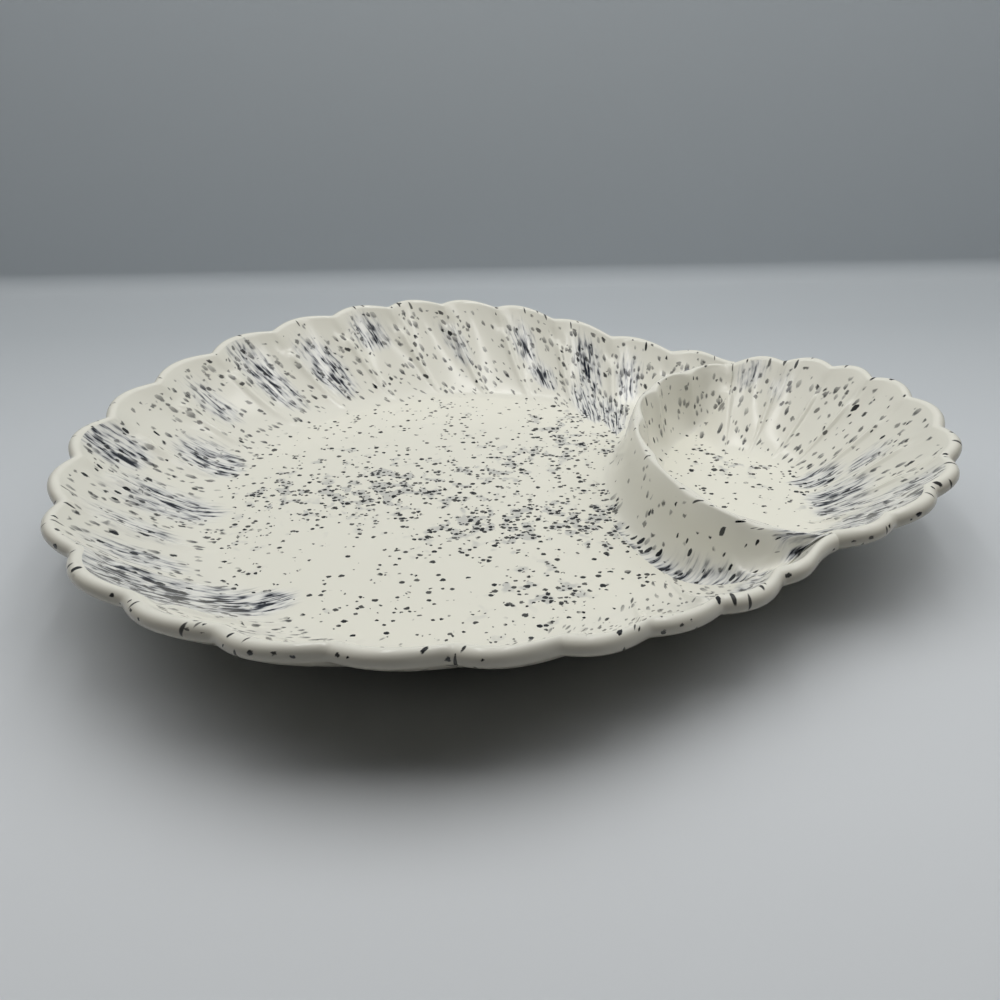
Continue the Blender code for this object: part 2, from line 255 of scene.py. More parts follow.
# Depth of the flute at a lobe index; past the shell's last notch there is none
def fluteDepth(shell, index):
    depth = shell["lobeDepth"] * lobeArch(index)
    fromEnd = np.exp(-((index - shell["lobes"] / 2) / rim["farSpread"]) ** 2)
    depth = depth * (shell["sideLobes"] + (1 - shell["sideLobes"]) * fromEnd)
    wobble = np.sin(rim["wobbleStep"] * np.floor(index) + rim["wobbleStart"])
    depth = depth * (1 + shell["wobble"] * wobble)
    return np.where((index >= 0) & (index <= shell["lobes"]), depth, 0)


# Place of a lobe index along the rim, as the lobes aren't quite evenly spaced
def notchPlace(shell, index):
    ends = smooth(index, 0, rim["evenEnds"]) * smooth(shell["lobes"] - index, 0, rim["evenEnds"])
    shift = sum(size * np.exp(-((index - place) / spread) ** 2) for place, spread, size in shell["drift"])
    return index + shift * ends


def ribLine(shell, index):
    angle = shell["first"] + shell["sweep"] * notchPlace(shell, index)
    reach = outlineReach(shell["spacingX"], angle)
    x, y = shell["spacingX"] + reach * np.cos(angle), reach * np.sin(angle)
    toX, toY = shell["focusX"] - x, -y
    length = np.hypot(toX, toY)
    return x, y, toX / length, toY / length, length


def wallPower(shell, crest):
    drop = crest - rollHalf * (1 - math.cos(rim["slope"])) - floorTop
    return drop, shell["run"] * math.tan(rim["slope"]) / drop


def innerHeight(shell, crest, flute, inset):
    # the inside of a shell: the roll's top, then the fluted wall, then the floor
    drop, power = wallPower(shell, crest)
    share = halve(lambda s: rollInner + shell["run"] * s - flute * (1 - smooth(s)) < inset, np.shape(inset))
    below = np.maximum(inset + flute - rollInner, 0)
    cup = rim["cupDepth"] * flute / shell["lobeDepth"] * (1 - np.exp(-below / rim["cupReach"]))
    notch = np.exp(-(flute / (rim["dimpleWidth"] * shell["lobeDepth"])) ** 2)
    cup = cup + rim["dimple"] * notch * np.exp(-((below - rim["dimpleInset"]) / rim["dimpleSize"]) ** 2)
    cup = cup * (1 - smooth(share, 0, rim["hollowEnd"]))
    # a thin rib stands up along each notch line, and the wall's foot eases into the floor
    rib = rim["ribRise"] * np.exp(-(flute / (rim["ribWidth"] * shell["lobeDepth"])) ** 2)
    rib = rib * smooth(share, *rim["ribStart"]) * (1 - smooth(share, *rim["ribEnd"]))
    ease = (1 + rim["footEase"] ** 2) * (1 - share) ** 2 / ((1 - share) ** 2 + rim["footEase"] ** 2)
    wall = floorTop + drop * (1 - share) ** power * ease - cup + rib
    onRoll = crest - rollHalf + np.sqrt(np.maximum(rollHalf ** 2 - (inset + flute - rollHalf) ** 2, 0))
    return np.where(inset + flute < rollInner, onRoll, wall), share


def outerWall(shell, crest, flute, share):
    drop, power = wallPower(shell, crest)
    slope = np.arctan(power * drop / shell["run"] * (1 - share) ** (power - 1))
    thick = rim["wall"] + (rim["rimWall"] - rim["wall"]) * (1 - smooth(share, 0, rim["thinnedAt"]))
    inset = rollInner + shell["run"] * share - thick * np.sin(slope)
    height = floorTop + drop * (1 - share) ** power - thick * np.cos(slope)
    return inset - flute * (1 - smooth(share)), height


def outerShare(shell, crest, flute, inset):
    return halve(lambda s: outerWall(shell, crest, flute, s)[0] < inset, np.shape(inset))


def underHeight(shell, crest, flute, inset):
    return outerWall(shell, crest, flute, outerShare(shell, crest, flute, inset))[1]


# Insets and heights of the rows over the roll and down the outside of the wall
def outsideRows(shell, crest, flute, end):
    rollIn = rollHalf + rollHalf * np.cos(rollAngle) - flute
    rollUp = crest - rollHalf + rollHalf * np.sin(rollAngle)
    steps = evenly(shell["outerRows"] - 1) ** shell["outerCrowd"]
    shares = rim["outerStart"] + (outerShare(shell, crest, flute, end) - rim["outerStart"]) * steps
    wallIn, wallUp = outerWall(shell, crest, flute, shares)
    return np.hstack([rollIn, wallIn]), np.hstack([rollUp, wallUp])


# Inside height, underside height and wall share of a shell anywhere in plan
def shellAt(shell, x, y):
    angle = np.arctan2(y, x - shell["focusX"])
    reach = outlineReach(shell["focusX"], angle)
    rimX, rimY = shell["focusX"] + reach * np.cos(angle), reach * np.sin(angle)
    turn = (np.arctan2(rimY, rimX - shell["spacingX"]) - shell["first"]) * shell["turn"]
    even = np.linspace(0, shell["lobes"], meshing["lookups"] * shell["lobes"] + 1)
    index = np.interp(turn % (2 * np.pi) / abs(shell["sweep"]), notchPlace(shell, even), even)
    flute, crest = fluteDepth(shell, index), crestHeight(rimX, index)
    inset = reach - np.hypot(x - shell["focusX"], y)
    top, share = innerHeight(shell, crest, flute, inset)
    return top, underHeight(shell, crest, flute, inset), share


def dividerPlan(angle, offset):
    # a positive offset is towards the dish
    x = divider["junctionX"] - (divider["reach"] + offset) * np.cos(angle)
    return x, (junctionY - divider["rimGap"] + offset) * np.sin(angle)


def ellipseEntry(x, y, alongX, alongY, offset):
    # distances along a line to where it enters and leaves one of the divider's arcs
    wide, tall = divider["reach"] + offset, junctionY - divider["rimGap"] + offset
    px, py, qx, qy = (x - divider["junctionX"]) / wide, y / tall, alongX / wide, alongY / tall
    a, b, c = qx * qx + qy * qy, px * qx + py * qy, px * px + py * py - 1
    root = np.sqrt(np.maximum(b * b - a * c, 0))
    return (-b - root) / a, (-b + root) / a


# Points of a section's rows, at their insets from the rim along each column's line
def layRows(x, y, alongX, alongY, inset, height):
    pointX, pointY = x[:, None] + alongX[:, None] * inset, y[:, None] + alongY[:, None] * inset
    return np.stack([pointX, pointY, height], axis=2)


# A grid is added and its points are laid as given (columns, rows, 3), with the
# flow map and the glaze's masks put on in the same order
def layGrid(name, points, flow, masks):
    columns, rows = points.shape[0] - 1, points.shape[1] - 1
    bpy.ops.object.select_all(action="DESELECT")
    bpy.ops.mesh.primitive_grid_add(x_subdivisions=columns, y_subdivisions=rows, size=1)
    piece = bpy.context.object
    piece.name = piece.data.name = name
    mesh = piece.data
    start = np.empty(len(mesh.vertices) * 3)
    mesh.vertices.foreach_get("co", start)
    start = start.reshape(-1, 3)
    column = np.rint((start[:, 0] + 0.5) * columns).astype(int)
    row = np.rint((start[:, 1] + 0.5) * rows).astype(int)
    mesh.vertices.foreach_set("co", points[column, row].ravel())
    corner = np.empty(len(mesh.loops), dtype=np.int32)
    mesh.loops.foreach_get("vertex_index", corner)
    mesh.uv_layers[0].name = "flow"
    mesh.uv_layers["flow"].data.foreach_set("uv", flow[column, row][corner].ravel())
    for mask, values in masks.items():
        layer = mesh.attributes.new(mask, "FLOAT", "POINT")
        layer.data.foreach_set("value", np.ascontiguousarray(values[column, row], dtype=np.float32))
    mesh.update()
    return piece


def addPlane(name):
    bpy.ops.object.select_all(action="DESELECT")
    bpy.ops.mesh.primitive_plane_add(size=1, location=(0, 0, 0))
    plane = bpy.context.object
    plane.name = plane.data.name = name
    return plane


def closeAndSmooth(piece, fill):
    bpy.ops.object.select_all(action="DESELECT")
    piece.select_set(True)
    bpy.context.view_layer.objects.active = piece
    bpy.ops.object.mode_set(mode="EDIT")
    bpy.ops.mesh.select_all(action="SELECT")
    bpy.ops.mesh.remove_doubles(threshold=meshing["merge"])
    if fill:
        bpy.ops.mesh.select_all(action="SELECT")
        bpy.ops.mesh.fill_holes(sides=0)
    bpy.ops.mesh.select_all(action="SELECT")
    bpy.ops.mesh.normals_make_consistent(inside=False)
    bpy.ops.object.mode_set(mode="OBJECT")
    bpy.ops.object.shade_smooth_by_angle(angle=meshing["crease"])
    print(piece.name + ":", len(piece.data.polygons), "faces")


def flowMap(points, u, crestRow):
    # across: place along the rim, down: distance over the surface from the crest
    steps = np.linalg.norm(np.diff(points, axis=1), axis=2)
    down = np.concatenate([np.zeros((len(points), 1)), np.cumsum(steps, axis=1)], axis=1)
    down = down[:, crestRow][:, None] - down
    return np.stack([np.broadcast_to(u[:, None], down.shape), down], axis=2)


def rimLength(x, y):
    return np.concatenate([[0], np.cumsum(np.hypot(np.diff(x), np.diff(y)))])


# Which rows of a section are inside, given their wall shares, and which of these are floor
def insideMasks(shape, shares):
    inside, floor = np.zeros(shape), np.zeros(shape)
    inside[:, :shares.shape[1]] = 1
    floor[:, :shares.shape[1]] = smooth(shares, rim["floorFrom"], 1.0)
    return inside, floor


runShape = {"downhill": 0.6, "uphill": 1.3, "fan": 0.5, "fanEnd": 1.5}
freckleBase = 0.24  # dots all over the floors, before the patches add theirs


# Patches where the glaze ran: place along the rim in lobes, depth from the crest, half
# width in lobes, half length, strength; each fans out uphill and stops short downhill
def runPatches(patches, lobe, down):
    total = np.zeros_like(down)
    for place, depth, halfWidth, halfLength, strength in patches:
        ahead = (down - depth) / halfLength
        ahead = np.where(ahead > 0, ahead / runShape["downhill"], ahead / runShape["uphill"])
        fan = halfWidth * (1 + runShape["fan"] * np.clip(-ahead, 0, runShape["fanEnd"]))
        total = np.maximum(total, strength * np.exp(-((lobe - place) / fan) ** 2 - ahead ** 2))
    return total


def frecklePatches(patches, points):
    x, y = points[:, :, 0], points[:, :, 1]
    total = np.full(x.shape, freckleBase)
    for placeX, placeY, halfX, halfY, strength in patches:
        total = total + strength * np.exp(-((x - placeX) / halfX) ** 2 - ((y - placeY) / halfY) ** 2)
    return total


# Chip dish
dishRuns = [
    (8.6, 0.033, 0.20, 0.022, 0.80),
    (7.7, 0.037, 0.22, 0.017, 0.90),
    (6.7, 0.020, 0.22, 0.010, 0.75),
    (11.3, 0.018, 0.24, 0.013, 0.9),
    (10.6, 0.050, 0.28, 0.014, 0.8),
    (11.9, 0.046, 0.32, 0.022, 0.62),
    (12.7, 0.034, 0.25, 0.020, 0.42),
    (14.3, 0.034, 0.42, 0.036, 1.1),
    (14.4, 0.058, 0.22, 0.018, 1.3),
    (13.4, 0.036, 0.22, 0.018, 0.6),
    (4.1, 0.026, 0.20, 0.012, 0.7),
    (3.9, 0.043, 0.20, 0.008, 0.9),
    (2.8, 0.030, 0.24, 0.015, 0.85),
    (3.0, 0.056, 0.30, 0.014, 0.8),
    (1.9, 0.028, 0.25, 0.014, 0.6),
    (2.3, 0.056, 0.35, 0.014, 0.7),
    (5.4, 0.030, 0.20, 0.014, 0.45),
    (9.6, 0.030, 0.20, 0.016, 0.45),
    (21.6, 0.014, 0.50, 0.012, 0.6),
]
# thick patches of dots on the floor: place in plan, half widths, strength
dishFreckles = [
    (-0.030, 0.000, 0.045, 0.028, 0.50),
    (-0.008, -0.026, 0.016, 0.011, 1.3),
    (-0.050, 0.006, 0.020, 0.010, 1.3),
    (-0.088, 0.004, 0.022, 0.016, 0.45),
    (0.028, -0.020, 0.012, 0.012, 1.4),
    (0.008, -0.066, 0.012, 0.011, 0.75),
    (0.030, 0.055, 0.020, 0.020, 0.7),
    (0.005, 0.030, 0.030, 0.018, 0.20),
]
# where the largest drops and dashes fell, given as the runs are
dishDrops = [
    (11.8, 0.026, 1.8, 0.016, 0.50),
    (13.6, 0.004, 1.0, 0.005, 0.60),
    (14.3, 0.040, 0.5, 0.016, 0.60),
    (18.8, -0.001, 3.4, 0.004, 0.55),
]
lobe = np.linspace(0, dish["lobes"], dish["lobes"] * dish["perLobe"] + 1)
x, y, alongX, alongY, length = ribLine(dish, lobe)
swing = 1 - smooth(np.minimum(lobe, dish["lobes"] - lobe), 0, dish["turnIn"])
hubDistance = np.hypot(dip["x"] - x, y)
alongX = alongX * (1 - swing) + (dip["x"] - x) / hubDistance * swing
alongY = alongY * (1 - swing) - y / hubDistance * swing
size = np.hypot(alongX, alongY)
alongX, alongY = alongX / size, alongY / size
crest, flute = crestHeight(x, lobe)[:, None], fluteDepth(dish, lobe)[:, None]
entry = ellipseEntry(x, y, alongX, alongY, divider["dishFoot"])[0]
inEnd = (np.maximum(entry, dish["band"]) + dish["tuck"])[:, None]
first = rollInner - flute
wallEnd = np.minimum(rollInner + dish["run"], first + dish["wallLimit"] * (inEnd - first))
insets = np.hstack([
    first + (wallEnd - first) * evenly(dish["wallRows"]) ** dish["wallCrowd"],
    wallEnd + (inEnd - wallEnd) * evenly(dish["floorRows"])[1:],
])
heights, shares = innerHeight(dish, crest, flute, insets)
outIn, outUp = outsideRows(dish, crest, flute, wallEnd)
underIn = wallEnd + (inEnd - wallEnd) * evenly(dish["underRows"])[1:]
underUp = underHeight(dish, crest, flute, underIn)
inset = np.hstack([insets[:, ::-1], outIn, underIn, inEnd])
height = np.hstack([heights[:, ::-1], outUp, underUp, heights[:, -1:]])
points = layRows(x, y, alongX, alongY, inset, height)
flow = flowMap(points, rimLength(x, y), insets.shape[1] + rollCrest)
inside, floorness = insideMasks(inset.shape, shares[:, ::-1])
lobePlace = notchPlace(dish, lobe)[:, None]
chipDish = layGrid("chipDish", points, flow, {
    "floorness": floorness,
    "runs": runPatches(dishRuns, lobePlace, flow[:, :, 1]) * inside,
    "drops": runPatches(dishDrops, lobePlace, flow[:, :, 1]),
    "freckles": frecklePatches(dishFreckles, points),
    "strokes": np.ones(inset.shape),
})
closeAndSmooth(chipDish, fill=True)

# Dip bowl: full walls on the right of the hub, only the floor behind the divider
dipRuns = [
    (0.4, 0.010, 0.35, 0.010, 0.40),
    (1.1, 0.016, 0.25, 0.010, 0.30),
    (4.1, 0.054, 0.40, 0.010, 0.8),
    (5.4, 0.050, 0.50, 0.012, 0.9),
    (4.5, 0.034, 0.25, 0.010, 0.5),
    (6.6, 0.020, 0.30, 0.016, 0.7),
    (7.4, 0.024, 0.40, 0.020, 0.85),
    (8.2, 0.026, 0.40, 0.020, 0.7),
    (6.3, 0.046, 0.40, 0.012, 0.7),
]
dipDrops = [
    (3.9, 0.024, 1.4, 0.016, 0.65),
    (6.4, -0.001, 1.0, 0.004, 0.60),
]
dipFreckles = [
    (0.100, 0.020, 0.014, 0.010, 0.6),
    (0.115, -0.004, 0.012, 0.014, 0.6),
    (0.085, 0.030, 0.020, 0.010, 0.3),
]
lobe = np.linspace(0, dip["lobes"], dip["lobes"] * dip["perLobe"] + 1)
x, y, alongX, alongY, length = ribLine(dip, lobe)
rayX, rayY = -alongX[0], -alongY[0]  # from the hub to the back junction
rayAngle = math.atan2(rayY, rayX)
crest, flute = crestHeight(x, lobe)[:, None], fluteDepth(dip, lobe)[:, None]
innerReach = float(ellipseEntry(dip["x"], 0.0, rayX, rayY, -divider["dipFoot"])[1]) + dip["tuck"]
insideShare = 1 - (1 - evenly(dip["insideRows"])) ** dip["insideCrowd"]  # from the hub outwards
lipEnd = rollInner - flute
split = length[:, None] - innerReach
insets = np.hstack([
    length[:, None] - innerReach * insideShare,
    split + (lipEnd - split) * evenly(dip["lipRows"])[1:],
])
heights, shares = innerHeight(dip, crest, flute, insets)
outIn, outUp = outsideRows(dip, crest, flute, split)
underIn = length[:, None] - innerReach * insideShare[::-1]
underUp = underHeight(dip, crest, flute, underIn)
inset = np.hstack([insets, outIn, underIn[:, 1:]])
height = np.hstack([heights, outUp, underUp[:, 1:]])
right = layRows(x, y, alongX, alongY, inset, height)
rightFlow = flowMap(right, rimLength(x, y) + dip["flowStart"], insets.shape[1] + rollCrest)
inside, rightFloor = insideMasks(inset.shape, shares)
lobePlace = notchPlace(dip, lobe)[:, None]
rightRuns = runPatches(dipRuns, lobePlace, rightFlow[:, :, 1]) * inside
rightDrops = runPatches(dipDrops, lobePlace, rightFlow[:, :, 1])
# the left columns go on round the hub; their lip and outside rows stand in one upright wall
angle = np.linspace(2 * math.pi - rayAngle, rayAngle, dip["leftColumns"] + 1)
leftX, leftY = np.cos(angle)[:, None], np.sin(angle)[:, None]
leftReach = ellipseEntry(dip["x"], 0.0, leftX, leftY, -divider["dipFoot"])[1] + dip["tuck"]
reach = leftReach * insideShare
top, under, share = shellAt(dip, dip["x"] + leftX * reach, leftY * reach)
standing = dip["lipRows"] + rim["rollSteps"] + dip["outerRows"] - 1
wallZ = top[:, -1:] + (under[:, -1:] - top[:, -1:]) * evenly(standing + 1)[1:-1]
reachAll = np.hstack([reach, np.repeat(leftReach, standing, axis=1), reach[:, ::-1]])
left = np.stack([
    dip["x"] + leftX * reachAll, leftY * reachAll, np.hstack([top, wallZ, under[:, ::-1]])], axis=2)
leftDown = lowDepth + leftReach - reachAll
leftDown[:, -reach.shape[1]:] *= -1  # the underside counts as outside
leftAcross = rightFlow[-1, 0, 0] + (angle[0] - angle)[:, None] * dip["leftRadius"] + 0 * reachAll
leftFlow = np.stack([leftAcross, leftDown], axis=2)
leftFloor = insideMasks(reachAll.shape, share)[1]


# all round the hub, with the first column again at the end
def closeColumns(right, left):
    return np.concatenate([right, left, right[:1]])


points = closeColumns(right, left)
dipBowl = layGrid("dipBowl", points, closeColumns(rightFlow, leftFlow), {
    "freckles": frecklePatches(dipFreckles, points) - dip["fewerFreckles"],
    "floorness": closeColumns(rightFloor, leftFloor),
    "runs": closeColumns(rightRuns, 0 * leftFloor),
    "drops": closeColumns(rightDrops, 0 * leftFloor),
    "strokes": np.ones(points.shape[:2]),
})
closeAndSmooth(dipBowl, fill=False)

# Divider wall: a curved crest with small lobes, its faces running out into the two floors
half = divider["crestHalf"]
faceShare = evenly(divider["faceRows"])[1:] ** divider["faceCrowd"]
offset = np.concatenate([
    half + (divider["dishFoot"] - half) * faceShare[::-1],
    half * np.linspace(1, -1, divider["crestRows"] + 1),
    -half - (divider["dipFoot"] - half) * faceShare,
])


# each row of the crest runs to the line from the dip's hub to the notch, each row of the
# dish side stops at the rim band, and the rows between change over
def beforeNotch(share):
    px, py = dividerPlan(share * np.pi / 2, offset)
    return (px - dip["x"]) * rayY - py * rayX < 0


def beforeBand(share):
    px, py = dividerPlan(share * np.pi / 2, offset)
    reach = outlineReach(dish["focusX"], np.arctan2(py, px - dish["focusX"]))
    return reach - np.hypot(px - dish["focusX"], py) > dish["band"]


toNotch, toBand = halve(beforeNotch, offset.shape), halve(beforeBand, offset.shape)
onBand = smooth(offset, 0.0, divider["bandFade"])
endAngle = (toNotch + (np.minimum(toBand, toNotch) - toNotch) * onBand) * np.pi / 2
place = np.linspace(-1, 1, divider["columns"] + 1)[:, None]
angle = endAngle * place
px, py = dividerPlan(angle, offset)
dishTop, dishUnder, dishShare = shellAt(dish, px, py)
dipTop, dipUnder, dipShare = shellAt(dip, px, py)


def ridge(offset):
    foot = np.where(offset > 0, divider["dishFoot"], divider["dipFoot"])
    power = np.where(offset > 0, divider["dishPower"], divider["dipPower"])
    shoulder = np.clip(np.abs(offset) / half, 0, 1)
    face = np.clip((np.abs(offset) - half) / (foot - half), 0, 1)
    return shoulder ** 2, (1 - face) ** power


# the crest's shoulders are rounded by averaging the section over a short way
shoulder, rise = 0.0, 0.0
steps = len(divider["softSteps"])
for shift in divider["softSteps"]:
    oneShoulder, oneRise = ridge(offset + shift * divider["crestSoft"])
    shoulder, rise = shoulder + oneShoulder / steps, rise + oneRise / steps
rise = np.where(np.abs(offset) > half + 2 * divider["crestSoft"], ridge(offset)[1], rise)
base = np.where(offset > 0, dishTop, dipTop)
endHeight = crestHeight(divider["junctionX"], 0.0)
lobeIndex = divider["lobes"] * (angle / np.pi + 0.5)
crest = endHeight + (divider["height"] - endHeight) * np.cos(angle) ** 2 - divider["crestRounding"] * shoulder
crest = crest - divider["crestDip"] * (1 - lobeArch(lobeIndex))
top = base + (crest - base) * rise
crestBlend, faceBlend = divider["endBlend"]
blend = crestBlend + (faceBlend - crestBlend) * smooth(np.abs(offset), half, divider["blendReach"])
melt = smooth((np.abs(place) - 1 + blend) / blend)
ends = np.where(offset > 0, dishTop - divider["endSink"] * (onBand < 1), dipTop)
top = top + (ends - top) * melt
across = np.clip((divider["dishFoot"] - offset) / (divider["dishFoot"] + divider["dipFoot"]), 0, 1)
under = dishUnder + (dipUnder - dishUnder) * across
# the lobes hollow the dip side, fade out towards the floor and barely reach the dish side
over = divider["lobeOver"]
reachOut = np.where(offset > 0, smooth(over - offset, 0, 2 * over), 0.5 + 0.5 * smooth(-offset, 0, over))
reachOut = reachOut * (1 - smooth(-offset, *divider["lobeEnd"]))
push = divider["lobeDepth"] * lobeArch(lobeIndex) * reachOut * (1 - melt)
px, py = dividerPlan(angle, offset + push)
topPoints = np.stack([px, py, top], axis=2)
underX, underY = dividerPlan(angle, offset)
underPoints = np.stack([underX, underY, under], axis=2)
crestRow = int(np.argmin(np.abs(offset)))
arc = rimLength(topPoints[:, crestRow, 0], topPoints[:, crestRow, 1])
topFlow = np.abs(flowMap(topPoints, arc + divider["flowStart"], crestRow))
topFlow[:, :, 0] += np.where(offset > 0, 0.0, divider["dipFlowStart"])
down = topFlow[:, :, 1]
underFlow = topFlow * (1, -1) - (0, lowDepth)  # the underside counts as outside, below the lip
topFloor = np.where(
    offset > 0,
    smooth(dishShare, rim["floorFrom"], 1.0) * smooth(offset, *divider["dishFloor"]),
    smooth(dipShare, rim["floorFrom"], 1.0) * smooth(-offset, *divider["dipFloor"]))
dividerRuns = [
    (0.35, 0.010, 0.30, 0.014, 0.9),
    (1.1, 0.033, 0.55, 0.008, 0.7),
    (1.8, 0.036, 0.45, 0.006, 0.7),
    (2.6, 0.039, 0.30, 0.005, 0.8),
    (6.3, 0.026, 0.50, 0.014, 0.6),
]
dividerDrops = [
    (0.9, 0.010, 0.6, 0.010, 1.3),
    (1.5, 0.026, 0.7, 0.010, 1.3),
    (2.4, 0.034, 0.7, 0.007, 0.9),
]
topRuns = runPatches(dividerRuns, lobeIndex, down) * (offset > 0)
topDrops = runPatches(dividerDrops, lobeIndex, down) * (offset > 0)
clean = divider["cleanShare"]
topStrokes = np.where(offset > 0, clean + (1 - clean) * smooth(down, *divider["cleanTo"]), 1.0)


# the top's rows, the underside's, and the first row again at the end
def closeRows(top, under):
    return np.concatenate([top, under, top[:, :1]], axis=1)


points = closeRows(topPoints, underPoints[:, ::-1])
dividerWall = layGrid("dividerWall", points, closeRows(topFlow, underFlow[:, ::-1]), {
    "floorness": closeRows(topFloor, 0 * topFloor),
    "runs": closeRows(topRuns, 0 * topRuns),
    "drops": closeRows(topDrops, 0 * topDrops),
    "freckles": frecklePatches(dishFreckles, points),
    "strokes": closeRows(topStrokes, np.ones(topStrokes.shape)),
})
closeAndSmooth(dividerWall, fill=True)

# Foot rings: a small plane with softened corners, spun round each centre
footRings = {
    "dishFootRing": {"node": "dish_foot_ring", "x": -0.0325, "radius": 0.060},
    "dipFootRing": {"node": "dip_foot_ring", "x": 0.086, "radius": 0.019},
}
foot = {"width": 0.007, "top": 0.0068, "taper": 0.0012, "softness": 0.0012, "softSteps": 4, "steps": 128}
for name, ring in footRings.items():
    piece = addPlane(name)
    for vertex in piece.data.vertices:
        side, up = vertex.co.x, vertex.co.y
        wide = foot["width"] - (2 * foot["taper"] if up < 0 else 0)
        vertex.co = (ring["x"] + ring["radius"] + side * wide, 0, (up + 0.5) * foot["top"])
    bpy.ops.object.mode_set(mode="EDIT")
    bpy.ops.mesh.select_all(action="SELECT")
    bpy.ops.mesh.bevel(offset=foot["softness"], segments=foot["softSteps"], affect="VERTICES")
    bpy.ops.mesh.select_all(action="SELECT")
    bpy.ops.mesh.delete(type="ONLY_FACE")
    bpy.ops.mesh.select_all(action="SELECT")
    bpy.ops.mesh.spin(steps=foot["steps"], angle=2 * math.pi, center=(ring["x"], 0, 0), axis=(0, 0, 1))
    bpy.ops.object.mode_set(mode="OBJECT")
    ring["piece"] = piece
    closeAndSmooth(piece, fill=False)


def hexLinear(code):
    parts = [int(code[i:i + 2], 16) / 255 for i in (1, 3, 5)]
    return tuple(p / 12.92 if p <= 0.04045 else ((p + 0.055) / 1.055) ** 2.4 for p in parts) + (1.0,)


# A node given as an input stands for its first output; sockets named together take a value each
def addNode(tree, kind, inputs=None, **settings):
    node = tree.nodes.new("ShaderNode" + kind)
    for key, value in settings.items():
        setattr(node, key, value)
    sockets = {}
    for socket, value in (inputs or {}).items():
        sockets.update(zip(socket, value) if isinstance(socket, tuple) else {socket: value})
    for socket, value in sockets.items():
        if isinstance(value, bpy.types.Node):
            value = value.outputs[0]
        if isinstance(value, bpy.types.NodeSocket):
            tree.links.new(value, node.inputs[socket])
        else:
            node.inputs[socket].default_value = value
    return node


fromEnds, toEnds = ("From Min", "From Max"), ("To Min", "To Max")


def perCell(cell):
    return 1 / cell[0], 1 / cell[1], 1


def newMaterial(name, roughness):
    material = bpy.data.materials.new(name)
    material.use_nodes = True
    shader = material.node_tree.nodes["Principled BSDF"]
    shader.inputs["Roughness"].default_value = roughness
    return material, material.node_tree, shader


speckEdges = {
    "keptFade": 0.04,  # over how much of the draw a speck fades in
    "tailAhead": 0.3,  # where the tail is at full strength, as a share of its length
    "tailLeast": 0.15,
}


# One sort of speck: a scatter with one speck at most per cell, its edges frayed by noise,
# its size and strength drawn at random; a tail thins it out uphill, as the glaze ran
def speckLayer(tree, speck):
    share = addNode(tree, "Math", {0: speck["from"], 1: speck["times"]}, operation="MULTIPLY")
    placed = addNode(tree, "Mapping", {
        "Vector": speck["on"], "Scale": perCell(speck["cell"]), "Location": (*speck["shift"], 0)})
    fray = addNode(tree, "TexNoise", {
        "Vector": placed, "Scale": speck["frayScale"], "Detail": 2.0}, noise_dimensions="2D")
    frayed = addNode(tree, "VectorMath", {0: fray.outputs["Color"], 1: (0.5,) * 3}, operation="SUBTRACT")
    moved = addNode(tree, "VectorMath", {0: frayed, 1: (speck["fray"],) * 3, 2: placed},
                    operation="MULTIPLY_ADD")
    cells = addNode(tree, "TexVoronoi", {"Vector": moved, "Scale": 1.0}, voronoi_dimensions="2D")
    chance = addNode(tree, "SeparateColor", {0: cells.outputs["Color"]})
    radius = addNode(tree, "MapRange", {"Value": chance.outputs[0], toEnds: speck["radius"]})
    within = addNode(tree, "Math", {0: radius, 1: cells.outputs["Distance"]}, operation="SUBTRACT")
    spot = addNode(tree, "MapRange", {"Value": within, fromEnds: (-speck["soft"], speck["soft"])},
                   interpolation_type="SMOOTHSTEP")
    spare = addNode(tree, "Math", {0: share, 1: chance.outputs[1]}, operation="SUBTRACT")
    kept = addNode(tree, "MapRange", {"Value": spare, "From Max": speckEdges["keptFade"]})
    tone = addNode(tree, "MapRange", {"Value": chance.outputs[2], toEnds: speck["tone"]})
    factors = [kept, tone]
    if "tail" in speck:
        ahead = addNode(tree, "VectorMath", {0: moved, 1: cells.outputs["Position"]}, operation="SUBTRACT")
        ahead = addNode(tree, "SeparateXYZ", {0: ahead})
        factors.append(addNode(tree, "MapRange", {
            "Value": ahead.outputs["Y"], "From Min": -speck["tail"],
            "From Max": speckEdges["tailAhead"] * speck["tail"], "To Min": speckEdges["tailLeast"]}))
    for factor in factors:
        spot = addNode(tree, "Math", {0: spot, 1: factor}, operation="MULTIPLY")
    return spot


# Cream glaze, dipped and fired glossy, over cobalt and iron specks that bled as it ran:
# round dots on the flat floors, strokes and blue-grey feathering down the walls
glazeColours = {
    "cream": "#E3E1D5",
    "pooled": "#E4E2D5",
    "thin": "#BBB5A6",  # glaze thinner over the edge and down the outside, darkened further as painted shade
    "halo": "#E2E3E4",
    "bleed": "#6C7382",
    "speck": "#15171B",
    "inkBlue": "#1C2029",
}
glazeFinish = {
    "roughness": 0.17,
    "ior": 1.5,
    "thinAndShadeOver": (0.0, -0.0045),  # distance past the crest over which it thins and takes its painted shade, and how much
    "thinAndShadeShare": 0.85,
    "waveLength": 0.012,  # the fired surface lies in faint waves
    "waveHeight": 0.0005,
    "waveStrength": 0.25,
}
glaze, tree, shader = newMaterial("speckledCreamGlaze", glazeFinish["roughness"])
shader.inputs["IOR"].default_value = glazeFinish["ior"]
flat = addNode(tree, "TexCoord").outputs["Object"]
along = addNode(tree, "UVMap", uv_map="flow").outputs["UV"]
masks = {}
for name in ("floorness", "runs", "freckles", "strokes", "drops"):
    masks[name] = addNode(tree, "Attribute", attribute_name=name).outputs["Fac"]
down = addNode(tree, "SeparateXYZ", {0: along}).outputs["Y"]

